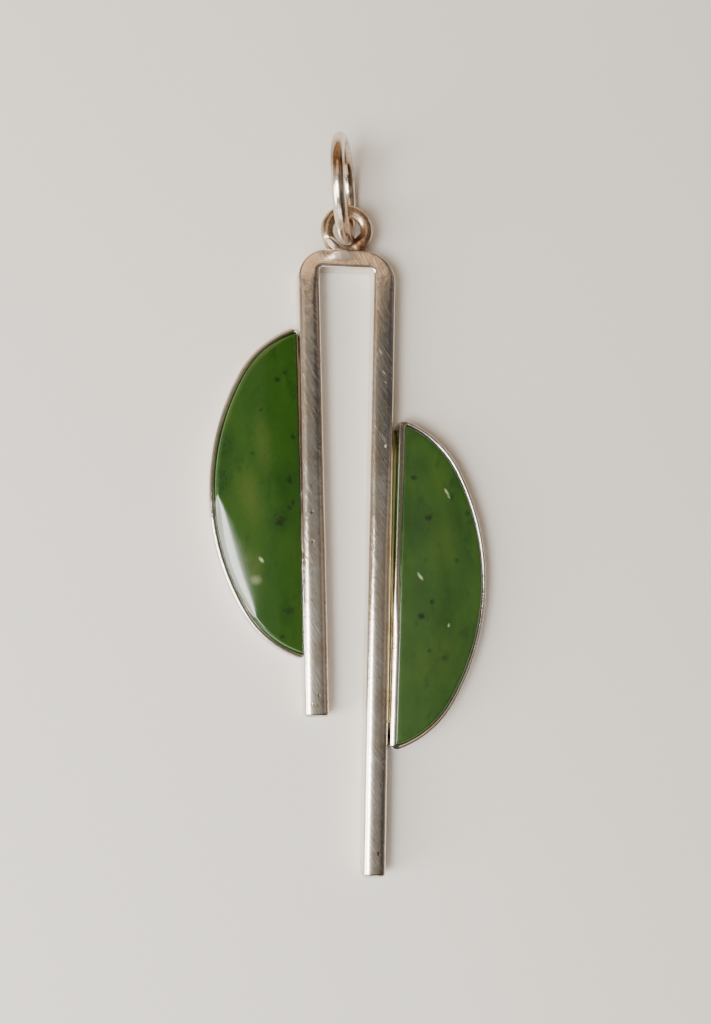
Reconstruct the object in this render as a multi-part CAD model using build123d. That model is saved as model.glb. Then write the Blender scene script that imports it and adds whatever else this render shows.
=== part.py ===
from build123d import *
import math
import os
from dataclasses import dataclass

# Silver and jade pendant, drawn lying on its back, in millimetres.
# Drawing frame: x = 0 is midway between the two legs, y = 0 is the top edge of the bent bar,
# z = 0 is the surface that the pendant lies on, and +Z is its front. The finished pieces are
# then moved so that the origin is at the middle of the underside of the whole pendant.

# Bent square bar, with two legs that draw together towards their feet
bar_depth = 2.0
bar_width = 1.38
leg_width = 1.65
leg_gap = 4.12
left_inner_lean = 1.33
right_inner_lean = 1.1
outer_lean = 1.08
left_reach = 34.8
right_reach = 46.4
left_bend = 2.2
right_bend = 2.45
left_inner_bend = 0.15
right_inner_bend = 0.37
front_round = 0.42
back_round = 0.12
foot_round = 0.14

# Closed-back settings, one on the outer side of each leg
setting_height = 1.8
setting_wall = 0.28
back_plate = 0.35
lip_overhang = 0.12
lip_height = 0.32
rim_round = 0.09
side_radius = 18.0
end_radius = 7.6
corner_round = 0.5
least_round = 0.1
left_setting_length = 24.9
left_setting_width = 6.82
left_setting_drop = 18.3
left_seam = -0.03
left_turn = 0.45
left_straight_wall = 0.13
left_straight_lip = 0.0
right_setting_length = 24.85
right_setting_width = 7.02
right_setting_drop = 25.03
right_seam = 0.27
right_turn = 0.75
right_straight_wall = 0.33
right_straight_lip = 0.14
solder_height = 1.45
solder_length = 20.5

# Half-oval stones with a low dome
stone_clearance = 0.04
stone_crown = 0.38
dome_across = 0.3
dome_along = 0.14

# Wire loop soldered upright to the top of the bar
loop_wire = 0.95
loop_middle = 1.5
loop_overlap = 0.52
loop_shift = -0.02
loop_lift = 0.225
solder_foot_width = 2.5
solder_foot_top = 1.7
solder_foot_rise = 0.42
solder_foot_depth = 1.0

# Jump ring that stands on its edge through the loop
ring_wire = 1.0
ring_middle = 3.55
ring_joint = 0.05
ring_joint_angle = -38.0
ring_lean = 14.7
ring_yaw = 2.2
ring_aside = -0.06
link_clearance = 0.155
floor_gap = 0.02

# Helping values that follow from the sizes above
half_gap = leg_gap / 2
outer_half = half_gap + leg_width
lip_start = setting_height - lip_height
loop_y = loop_middle + loop_wire / 2 - loop_overlap
loop_z = floor_gap + ring_wire + link_clearance + loop_wire / 2 + loop_lift
tiny = 0.001


@dataclass(frozen=True)
class Setting:
    """One setting and its stone: which leg it is on and the sizes of its half-oval outline."""

    side: int
    length: float
    width: float
    drop: float
    seam: float
    turn: float
    straight_wall: float
    straight_lip: float


left_setting = Setting(
    -1,
    left_setting_length,
    left_setting_width,
    left_setting_drop,
    left_seam,
    left_turn,
    left_straight_wall,
    left_straight_lip,
)
right_setting = Setting(
    1,
    right_setting_length,
    right_setting_width,
    right_setting_drop,
    right_seam,
    right_turn,
    right_straight_wall,
    right_straight_lip,
)


def inner_x(lean, y):
    """Distance of a leg's inner face from the middle at height y."""
    return half_gap - math.tan(math.radians(lean)) * (-bar_width - y)


def outer_x(y):
    """Distance of a leg's outer face from the middle at height y."""
    return outer_half - math.tan(math.radians(outer_lean)) * (-bar_width - y)


def bent_bar():
    """The bar with its two legs of unequal length, as one solid."""
    corners = [
        (-outer_x(0), 0),
        (outer_x(0), 0),
        (outer_x(-right_reach), -right_reach),
        (inner_x(right_inner_lean, -right_reach), -right_reach),
        (half_gap, -bar_width),
        (-half_gap, -bar_width),
        (-inner_x(left_inner_lean, -left_reach), -left_reach),
        (-outer_x(-left_reach), -left_reach),
    ]
    outline = make_face(Polyline(*corners, close=True))
    for corner, radius in (
        (corners[0], left_bend),
        (corners[1], right_bend),
        (corners[4], right_inner_bend),
        (corners[5], left_inner_bend),
    ):
        nearest = outline.vertices().sort_by_distance((corner[0], corner[1], 0))[0]
        outline = fillet(nearest, radius)
    bar = extrude(outline, bar_depth)
    bar = fillet(long_edges(bar, bar_depth), front_round)
    bar = fillet(long_edges(bar, 0), back_round)
    for foot_y in (-left_reach, -right_reach):
        bar = fillet(foot_edges(bar, foot_y), foot_round)
    return bar


def edges_at(piece, axis, level):
    """Edges of a piece that lie wholly at one position along an axis."""
    return piece.edges().filter_by_position(axis, level - tiny, level + tiny)


def long_edges(bar, level):
    """Edges of the bar's outline at one level, without the two cut feet."""
    feet = edges_at(bar, Axis.Y, -left_reach) + edges_at(bar, Axis.Y, -right_reach)
    return edges_at(bar, Axis.Z, level) - feet


def foot_edges(bar, foot_y):
    """Front and back edges of the cut face at the end of one leg."""
    return edges_at(bar, Axis.Y, foot_y).filter_by(Axis.X)


def half_oval(setting, inset, straight_inset):
    """The setting's outline moved inwards: a straight side and three arcs.

    The straight side lies on x = straight_inset, and the arcs swell towards +x.
    """
    side_centre = setting.width - side_radius
    spread = side_radius - end_radius
    corner_x = -side_centre
    corner_y = setting.length / 2
    corner_reach = math.hypot(corner_x, corner_y)
    cosine = (corner_reach**2 + spread**2 - end_radius**2) / (2 * spread * corner_reach)
    turn = math.atan2(corner_y, corner_x) - math.acos(cosine)
    end_x = side_centre + spread * math.cos(turn)
    end_y = spread * math.sin(turn)
    side_r = side_radius - inset
    end_r = end_radius - inset
    meet = (side_centre + side_r * math.cos(turn), side_r * math.sin(turn))
    tip = (setting.width - inset, 0)
    top = (straight_inset, end_y + math.sqrt(end_r**2 - (end_x - straight_inset) ** 2))
    top_angle = math.atan2(top[1] - end_y, top[0] - end_x)
    half_angle = (turn + top_angle) / 2
    shoulder = (end_x + end_r * math.cos(half_angle), end_y + end_r * math.sin(half_angle))
    upper = ThreePointArc(top, shoulder, meet)
    side = ThreePointArc(meet, tip, (meet[0], -meet[1]))
    lower = ThreePointArc((meet[0], -meet[1]), (shoulder[0], -shoulder[1]), (top[0], -top[1]))
    straight = Line((top[0], -top[1]), top)
    outline = make_face([upper, side, lower, straight])
    corners = outline.vertices().group_by(Axis.X)[0]
    return fillet(corners, max(corner_round - inset, least_round))


def inner_outline(setting, clearance, rise):
    """Outline inside the wall, less a clearance, at a height above the start of the lip."""
    climb = rise / lip_height
    inset = setting_wall + clearance + lip_overhang * climb
    straight_inset = setting.straight_wall + clearance + setting.straight_lip * climb
    return Pos(0, 0, lip_start + rise) * half_oval(setting, inset, straight_inset)


def under_lip(setting, clearance, rise):
    """The space under the leaning lip, less a clearance, up to a height above its start."""
    low_section = inner_outline(setting, clearance, 0)
    high_section = inner_outline(setting, clearance, rise)
    return loft([low_section, high_section], ruled=True)


def placed(setting, piece):
    """Sets a piece drawn against x = 0 on the outer face of the setting's leg."""
    y = -setting.drop
    piece = Pos(outer_x(y), y, 0) * Rot(0, 0, -outer_lean - setting.turn) * Pos(setting.seam, 0, 0) * piece
    if setting.side < 0:
        piece = mirror(piece, about=Plane.YZ)
    return piece


def setting_cup(setting):
    """A thin wall on a back plate, its lip leaning over the stone, with the solder in its seam."""
    cup = extrude(half_oval(setting, 0, 0), setting_height)
    cup = fillet(edges_at(cup, Axis.Z, setting_height), rim_round)
    cup -= extrude(inner_outline(setting, 0, 0), back_plate - lip_start)
    cup -= under_lip(setting, 0, lip_height + rim_round)
    seam_width = setting.seam + setting.straight_wall
    solder = Box(seam_width, solder_length, solder_height, align=(Align.MIN, Align.CENTER, Align.MIN))
    return placed(setting, cup + Pos(-setting.seam - setting.straight_wall / 2, 0, 0) * solder)


def dome(setting, crown_level):
    """A block whose top is a shallow dome, curved across and along the stone."""
    half_width = setting.width / 2
    across_radius = (half_width**2 + dome_across**2) / (2 * dome_across)
    along_radius = ((setting.length / 2) ** 2 + dome_along**2) / (2 * dome_along)
    crest = (half_width, crown_level)
    low_left = (0, crown_level - dome_across)
    low_right = (setting.width, crown_level - dome_across)
    arc = ThreePointArc(low_left, crest, low_right)
    sides = Polyline(low_right, (setting.width, 0), (0, 0), low_left)
    section = Plane.XZ * make_face([arc, sides])
    axis = Axis((0, 0, crown_level - along_radius), (1, 0, 0))
    sweep_angle = 2 * math.degrees(math.atan2(setting.length, along_radius))
    block = revolve(section, axis, sweep_angle)
    return block.rotate(axis, -sweep_angle / 2)


def stone(setting):
    """A half-oval stone that stands on the back plate, bevelled under the lip."""
    seat = back_plate + stone_clearance
    crown_level = setting_height + stone_crown
    body = extrude(inner_outline(setting, stone_clearance, 0), seat - lip_start)
    body += under_lip(setting, stone_clearance, crown_level - lip_start)
    return placed(setting, body & dome(setting, crown_level))


def wire_ring(middle, wire):
    """A round ring of round wire, lying flat."""
    return Torus(middle, wire / 2)


def top_loop():
    """The small loop with the foot of solder that holds it to the bar."""
    loop = Pos(loop_shift, loop_y, loop_z) * wire_ring(loop_middle, loop_wire)
    foot = make_face(
        Polyline(
            (-solder_foot_width / 2, -loop_overlap),
            (solder_foot_width / 2, -loop_overlap),
            (solder_foot_top / 2, solder_foot_rise),
            (-solder_foot_top / 2, solder_foot_rise),
            close=True,
        )
    )
    foot_low = bar_depth - solder_foot_depth
    return loop + Pos(loop_shift, 0, foot_low) * extrude(foot, solder_foot_depth)


def silver_frame():
    """Bar, both settings and the loop, soldered into one piece."""
    frame = bent_bar() + setting_cup(left_setting) + setting_cup(right_setting) + top_loop()
    return frame.solid()


def jump_ring():
    """The ring in its resting place, leaning a little, with the joint of its two wire ends."""
    lean = math.radians(ring_lean)
    yaw = math.radians(ring_yaw)
    away = Vector(-math.sin(yaw), math.cos(yaw), 0)
    aside = Vector(-math.cos(yaw), -math.sin(yaw), 0)
    rise = Vector(0, 0, math.cos(lean)) + aside * math.sin(lean)
    middle_level = floor_gap + ring_middle * math.cos(lean) + ring_wire / 2
    held = Vector(loop_shift, loop_y + loop_middle, loop_z) + aside * ring_aside
    climb = (middle_level - loop_z) / math.cos(lean)
    inner_reach = ring_middle - ring_wire / 2 - loop_wire / 2 - link_clearance
    run = math.sqrt(inner_reach**2 - climb**2)
    centre = held + away * run + rise * climb
    ring = wire_ring(ring_middle, ring_wire)
    joint = Pos(ring_middle, 0, 0) * Box(2 * ring_wire, ring_joint, 2 * ring_wire)
    ring -= Rot(0, 0, ring_joint_angle) * joint
    return Plane(origin=centre, x_dir=away, z_dir=away.cross(rise)) * ring


pieces = {
    "silver_frame": silver_frame(),
    "jade_left": stone(left_setting),
    "jade_right": stone(right_setting),
    "jump_ring": jump_ring(),
}
whole = Compound(children=[Compound([piece]) for piece in pieces.values()]).bounding_box()
to_origin = Pos(-whole.center().X, -whole.center().Y, -whole.min.Z)

os.makedirs("parts", exist_ok=True)
for name, piece in pieces.items():
    export_step(to_origin * piece, f"parts/{name}.step")
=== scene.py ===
"""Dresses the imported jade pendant: worn silver, polished nephrite, floor, light and camera.

Lengths are in millimetres in the part's drawing frame until a mesh is made: x = 0 midway between
the legs, y = 0 at the top edge of the bent bar, z = 0 at the surface that the pendant lies on.
"""

from __future__ import annotations

import logging
import math
from dataclasses import dataclass
from enum import Enum
from typing import Sequence

import bmesh
import bpy
import numpy as np
from bpy.types import Material, Node, NodeSocket, NodeTree, Object
from mathutils import Matrix, Vector

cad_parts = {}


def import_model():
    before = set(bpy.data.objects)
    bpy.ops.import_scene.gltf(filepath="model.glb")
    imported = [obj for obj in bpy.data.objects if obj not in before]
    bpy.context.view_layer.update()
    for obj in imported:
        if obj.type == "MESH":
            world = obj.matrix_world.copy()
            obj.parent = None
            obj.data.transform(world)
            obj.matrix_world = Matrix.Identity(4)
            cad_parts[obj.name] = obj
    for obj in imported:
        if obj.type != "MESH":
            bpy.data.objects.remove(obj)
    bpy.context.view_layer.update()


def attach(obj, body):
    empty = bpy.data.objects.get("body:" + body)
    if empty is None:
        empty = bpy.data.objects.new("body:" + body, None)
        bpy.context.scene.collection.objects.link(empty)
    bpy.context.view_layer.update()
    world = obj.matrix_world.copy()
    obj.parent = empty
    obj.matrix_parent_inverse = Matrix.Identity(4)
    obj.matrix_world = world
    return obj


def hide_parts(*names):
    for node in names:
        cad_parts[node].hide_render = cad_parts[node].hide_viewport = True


LOG = logging.getLogger("jade_pendant")
MM = 0.001
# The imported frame's origin, seen in the drawing frame.
ORIGIN_X = 0.187297
ORIGIN_Y = -19.1522
# Points of a mesh that are nearer than this, in millimetres, are one point.
TOUCHING = 0.002
QUARTER_TURN = math.pi / 2

Point2 = tuple[float, float]
Point3 = tuple[float, float, float]
Ring = list[Point3]
Settings = dict[str, object]
Links = dict[object, object]


class Side(Enum):
    """The leg that a setting is soldered to, as the sign of its x."""

    LEFT = -1
    RIGHT = 1


# Small helpers for meshes


def clamp(value: float) -> float:
    """The value, kept between 0 and 1."""
    return min(max(value, 0), 1)


def ease(value: float) -> float:
    """A smooth step that goes from 0 to 1 as the value does."""
    return clamp(value) ** 2 * (3 - 2 * clamp(value))


def to_frame(point: Sequence[float]) -> Vector:
    """Turns a point of the drawing, in millimetres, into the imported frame, in metres."""
    return Vector((point[0] - ORIGIN_X, point[1] - ORIGIN_Y, point[2])) * MM


def arc_points(centre: Point2, radius: float, start: float, end: float, count: int) -> list[Point2]:
    """Evenly spaced points along an arc between two angles in radians, without its last one."""
    angles = np.linspace(start, end, count, endpoint=False)
    return [(centre[0] + radius * math.cos(a), centre[1] + radius * math.sin(a)) for a in angles]


def line_points(start: Point2, end: Point2, count: int) -> list[Point2]:
    """Evenly spaced points along a line, without its last one."""
    shares = np.linspace(0, 1, count, endpoint=False)
    return [(start[0] + (end[0] - start[0]) * t, start[1] + (end[1] - start[1]) * t) for t in shares]


def skin(name: str, rings: Sequence[Ring], worn: Sequence[float] | None = None) -> Object:
    """Stretches a closed skin over rings of points, with a flat cap at both ends.

    Args:
        name: Name of the piece.
        rings: Rings with equal numbers of points, in drawing millimetres.
        worn: How far each point of a ring lies on a worn edge, from 0 to 1, kept as an attribute.

    Returns:
        The new object, at the origin, in metres.
    """
    size = len(rings[0])
    points = [to_frame(p) for ring in rings for p in ring]
    faces: list[tuple[int, ...]] = []
    for low in range(len(rings) - 1):
        for i in range(size):
            j = (i + 1) % size
            faces.append((low * size + i, low * size + j, (low + 1) * size + j, (low + 1) * size + i))
    faces.append(tuple(reversed(range(size))))
    last = (len(rings) - 1) * size
    faces.append(tuple(range(last, last + size)))
    mesh = bpy.data.meshes.new(name)
    mesh.from_pydata(points, [], faces)
    if worn is not None:
        values = mesh.attributes.new("worn", "FLOAT", "POINT")
        values.data.foreach_set("value", np.tile(np.asarray(worn, dtype=float), len(rings)))
    piece = bpy.data.objects.new(name, mesh)
    bpy.context.scene.collection.objects.link(piece)
    close_up(piece)
    return piece


def close_up(piece: Object) -> None:
    """Merges doubled points, cuts wide caps to triangles and points all faces outwards.

    Args:
        piece: The object whose mesh is put right.
    """
    work = bmesh.new()
    work.from_mesh(piece.data)
    bmesh.ops.remove_doubles(work, verts=work.verts, dist=TOUCHING * MM)
    wide = [face for face in work.faces if len(face.verts) > 4]
    bmesh.ops.triangulate(work, faces=wide)
    bmesh.ops.recalc_face_normals(work, faces=work.faces)
    for face in work.faces:
        face.smooth = True
    work.to_mesh(piece.data)
    work.free()


def settle(piece: Object) -> None:
    """Turns the evaluated object into its own plain mesh and takes its modifiers off.

    Args:
        piece: The object, whose mesh is replaced.
    """
    bpy.context.view_layer.update()
    seen = piece.evaluated_get(bpy.context.evaluated_depsgraph_get())
    mesh = bpy.data.meshes.new_from_object(seen)
    mesh.name = piece.name
    piece.modifiers.clear()
    piece.data = mesh
    for face in mesh.polygons:
        face.use_smooth = True


# Geometry Nodes


def add_node(
    tree: NodeTree,
    kind: str,
    settings: Settings | None = None,
    links: Links | None = None,
) -> Node:
    """Adds one node with its settings and what goes into its inputs.

    Args:
        tree: The node tree.
        kind: The node's type name.
        settings: Properties of the node.
        links: Input name or number, and the output or plain value that goes into it.

    Returns:
        The new node.
    """
    node = tree.nodes.new(kind)
    for key, value in (settings or {}).items():
        setattr(node, key, value)
    for key, value in (links or {}).items():
        if isinstance(value, NodeSocket):
            tree.links.new(value, node.inputs[key])
        else:
            node.inputs[key].default_value = value
    return node


def new_tree(name: str, sizes: dict[str, float]) -> tuple[NodeTree, Node]:
    """Starts a Geometry Nodes tree with named inputs.

    Args:
        name: Name of the tree.
        sizes: Name and usual value of each float input.

    Returns:
        The tree and its group input node.
    """
    tree = bpy.data.node_groups.new(name, "GeometryNodeTree")
    tree.interface.new_socket("Geometry", in_out="INPUT", socket_type="NodeSocketGeometry")
    for label, value in sizes.items():
        socket = tree.interface.new_socket(label, in_out="INPUT", socket_type="NodeSocketFloat")
        socket.default_value = value
    tree.interface.new_socket("Finish", in_out="INPUT", socket_type="NodeSocketMaterial")
    tree.interface.new_socket("Geometry", in_out="OUTPUT", socket_type="NodeSocketGeometry")
    return tree, tree.nodes.new("NodeGroupInput")


def end_tree(tree: NodeTree, source: Node, result: NodeSocket) -> None:
    """Ends a tree in Realize Instances, Set Material and the group output.

    Args:
        tree: The tree.
        source: Its group input node, which has the material.
        result: The geometry that the tree has made.
    """
    real = add_node(tree, "GeometryNodeRealizeInstances", links={"Geometry": result})
    links = {"Geometry": real.outputs[0], "Material": source.outputs["Finish"]}
    dressed = add_node(tree, "GeometryNodeSetMaterial", links=links)
    add_node(tree, "NodeGroupOutput", links={"Geometry": dressed.outputs[0]})


def run_tree(piece: Object, tree: NodeTree, values: dict[str, object]) -> None:
    """Runs a tree on a piece and keeps the result as its plain mesh.

    Args:
        piece: The object that the tree works on.
        tree: The Geometry Nodes tree.
        values: Input name and value, set by the socket's identifier.
    """
    modifier = piece.modifiers.new(tree.name, "NODES")
    modifier.node_group = tree
    for item in tree.interface.items_tree:
        if item.in_out == "INPUT" and item.name in values:
            modifier[item.identifier] = values[item.name]
    settle(piece)


@dataclass(frozen=True)
class HandFinish:
    """Slight waviness that filing and polishing by hand leave on a surface.

    Its depth and the size of its swells are in millimetres, and its seed says which swells.
    """

    depth: float
    grain: float
    seed: float

    def sizes(self) -> dict[str, float]:
        """The tree's inputs, in metres."""
        return {"Depth": self.depth * MM, "Grain": 1 / (self.grain * MM), "Seed": self.seed}

    def tree(self) -> NodeTree:
        """Builds the tree that moves each point a little along its normal, once for the script.

        Returns:
            The tree.
        """
        made = bpy.data.node_groups.get("hand_finish")
        if made:
            return made
        tree, source = new_tree("hand_finish", self.sizes())
        links = {
            "Vector": add_node(tree, "GeometryNodeInputPosition").outputs[0],
            "W": source.outputs["Seed"],
            "Scale": source.outputs["Grain"],
            "Detail": 2.0,
        }
        swell = add_node(tree, "ShaderNodeTexNoise", {"noise_dimensions": "4D"}, links).outputs[0]
        centred = add_node(tree, "ShaderNodeMath", {"operation": "SUBTRACT"}, {0: swell, 1: 0.5}).outputs[0]
        links = {0: centred, 1: source.outputs["Depth"]}
        amount = add_node(tree, "ShaderNodeMath", {"operation": "MULTIPLY"}, links).outputs[0]
        links = {0: add_node(tree, "GeometryNodeInputNormal").outputs[0], "Scale": amount}
        offset = add_node(tree, "ShaderNodeVectorMath", {"operation": "SCALE"}, links).outputs[0]
        links = {"Geometry": source.outputs["Geometry"], "Offset": offset}
        end_tree(tree, source, add_node(tree, "GeometryNodeSetPosition", links=links).outputs[0])
        return tree

    def work(self, piece: Object, finish: Material) -> None:
        """Gives a piece its waviness and its material."""
        run_tree(piece, self.tree(), {**self.sizes(), "Finish": finish})


@dataclass(frozen=True)
class BentWire:
    """A round wire bent to a circle about its own z axis, open by a small cut."""

    # Radius of the wire's middle line, its thickness, the cut's width and its angle in radians.
    middle: float
    wire: float
    cut: float = 0.0
    cut_angle: float = 0.0

    def tree(self) -> NodeTree:
        """Builds the tree that sweeps a round section along the bend, once for the script.

        Returns:
            The tree.
        """
        made = bpy.data.node_groups.get("bent_wire")
        if made:
            return made
        tree, source = new_tree("bent_wire", {"Middle": 1.0, "Wire": 0.5, "Start": 0.0, "Sweep": 6.28})
        links = {
            "Resolution": 96,
            "Radius": source.outputs["Middle"],
            "Start Angle": source.outputs["Start"],
            "Sweep Angle": source.outputs["Sweep"],
        }
        bend = add_node(tree, "GeometryNodeCurveArc", {"mode": "RADIUS"}, links)
        links = {"Resolution": 28, "Radius": source.outputs["Wire"]}
        section = add_node(tree, "GeometryNodeCurvePrimitiveCircle", {"mode": "RADIUS"}, links)
        links = {"Curve": bend.outputs[0], "Profile Curve": section.outputs[0], "Fill Caps": True}
        end_tree(tree, source, add_node(tree, "GeometryNodeCurveToMesh", links=links).outputs[0])
        return tree

    def make(self, name: str, finish: Material) -> Object:
        """Makes the ring round the origin, in millimetres taken as metres.

        Args:
            name: Name of the piece.
            finish: Its material.

        Returns:
            The new object, which still has to be put in its place.
        """
        piece = bpy.data.objects.new(name, bpy.data.meshes.new(name))
        bpy.context.scene.collection.objects.link(piece)
        half_cut = self.cut / 2 / self.middle
        values = {
            "Middle": self.middle,
            "Wire": self.wire / 2,
            "Start": self.cut_angle + half_cut,
            "Sweep": 2 * math.pi - 2 * half_cut,
            "Finish": finish,
        }
        run_tree(piece, self.tree(), values)
        return piece


# Materials


# Settings and an output number that many nodes share.
SOLID = {"noise_dimensions": "3D"}
TEXTURE = {"vector_type": "TEXTURE"}
SMOOTH = {"interpolation_type": "SMOOTHSTEP"}
COLOUR = {"data_type": "RGBA"}
TIMES = {"operation": "MULTIPLY"}
PLUS = {"operation": "ADD"}
LESS = {"operation": "SUBTRACT"}
LARGER = {"operation": "MAXIMUM"}
MIXED = 2
# How far from its middle a mark starts and stops to fade, as shares of its half size.
MARK_EDGE = (0.1, 1.15)
# A mark's half size in depth, in metres: it goes through the whole piece.
THROUGH = 1000.0


def linear(colour: str) -> tuple[float, float, float, float]:
    """Turns an sRGB hex colour such as "#c8b99c" into the linear values that Blender takes.

    Args:
        colour: The hex colour.

    Returns:
        Red, green, blue and an alpha of 1.
    """
    parts = [int(colour[i : i + 2], 16) / 255 for i in (1, 3, 5)]
    red, green, blue = [p / 12.92 if p <= 0.04045 else ((p + 0.055) / 1.055) ** 2.4 for p in parts]
    return (red, green, blue, 1.0)


def pattern(size: float, place: NodeSocket, detail: float = 3.0, rough: float = 0.5) -> Links:
    """What an uneven pattern takes in: its blotches' size in millimetres and its finer layers."""
    return {"Vector": place, "Scale": 1 / (size * MM), "Detail": detail, "Roughness": rough}


def drawn_out(place: NodeSocket, turn: float, length: float) -> Links:
    """What turns a pattern by degrees and draws it out along its length."""
    return {"Vector": place, "Rotation": (0, 0, math.radians(turn)), "Scale": (1, length, 1)}


def span(value: NodeSocket, low: float, high: float, start: float = 0.0, end: float = 1.0) -> Links:
    """What takes the values low to high smoothly to start and end."""
    return {"Value": value, "From Min": low, "From Max": high, "To Min": start, "To Max": end}


@dataclass(frozen=True)
class Mark:
    """A small charted mark: place in the drawing, half sizes in millimetres, strength and turn."""

    x: float
    y: float
    across: float
    along: float
    strength: float = 1.0
    turn: float = 0.0


class Recipe:
    """A material under construction, with its tree and its shader."""

    def __init__(self, name: str, constants: Settings) -> None:
        """Starts a material whose shader has constant settings.

        Args:
            name: Name of the material.
            constants: Shader input name and value.
        """
        self.material = bpy.data.materials.new(name)
        self.material.use_nodes = True
        self.tree = self.material.node_tree
        self.shader = self.tree.nodes["Principled BSDF"]
        for key, value in constants.items():
            self.shader.inputs[key].default_value = value
        self.place = self.add("ShaderNodeTexCoord", output="Object")

    def add(
        self,
        kind: str,
        settings: Settings | None = None,
        links: Links | None = None,
        output: int | str = 0,
    ) -> NodeSocket:
        """Adds a node to this material's tree, as add_node does, and gives one of its outputs."""
        return add_node(self.tree, kind, settings, links).outputs[output]

    def paint(self, body: str, layers: Sequence[tuple[NodeSocket | float, str]]) -> None:
        """Lays colours over a body colour and makes the result the base colour.

        Args:
            body: The body colour.
            layers: The share and the colour of each layer, from the lowest to the top one.
        """
        tone: NodeSocket | tuple[float, ...] = linear(body)
        for share, colour in layers:
            tone = self.add("ShaderNodeMix", COLOUR, {0: share, 6: tone, 7: linear(colour)}, MIXED)
        self.link(tone, "Base Color")

    def marks(self, chart: Sequence[Mark], ragged: float) -> NodeSocket | float:
        """Draws charted marks as soft ragged spots seen from the front.

        Args:
            chart: The marks.
            ragged: How far their outline strays, in millimetres.

        Returns:
            The strength of the strongest mark at each point.
        """
        stray = self.add("ShaderNodeTexNoise", SOLID, pattern(0.3, self.place), 1)
        centred = self.add("ShaderNodeVectorMath", LESS, {0: stray, 1: (0.5, 0.5, 0.5)})
        links = {0: centred, 1: (2 * ragged * MM,) * 3, 2: self.place}
        shifted = self.add("ShaderNodeVectorMath", {"operation": "MULTIPLY_ADD"}, links)
        result: NodeSocket | float = 0.0
        for mark in chart:
            moved = self.add("ShaderNodeVectorMath", LESS, {0: shifted, 1: to_frame((mark.x, mark.y, 0))})
            links = {
                "Vector": moved,
                "Rotation": (0, 0, math.radians(mark.turn)),
                "Scale": (mark.across * MM, mark.along * MM, THROUGH),
            }
            scaled = self.add("ShaderNodeMapping", TEXTURE, links)
            reach = self.add("ShaderNodeVectorMath", {"operation": "LENGTH"}, {0: scaled}, "Value")
            fade = span(reach, *MARK_EDGE, start=mark.strength, end=0.0)
            spot = self.add("ShaderNodeMapRange", SMOOTH, fade)
            result = self.add("ShaderNodeMath", LARGER, {0: spot, 1: result})
        return result

    def link(self, value: NodeSocket, name: str) -> None:
        """Sends a value to one of the shader's inputs."""
        self.tree.links.new(value, self.shader.inputs[name])


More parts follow.
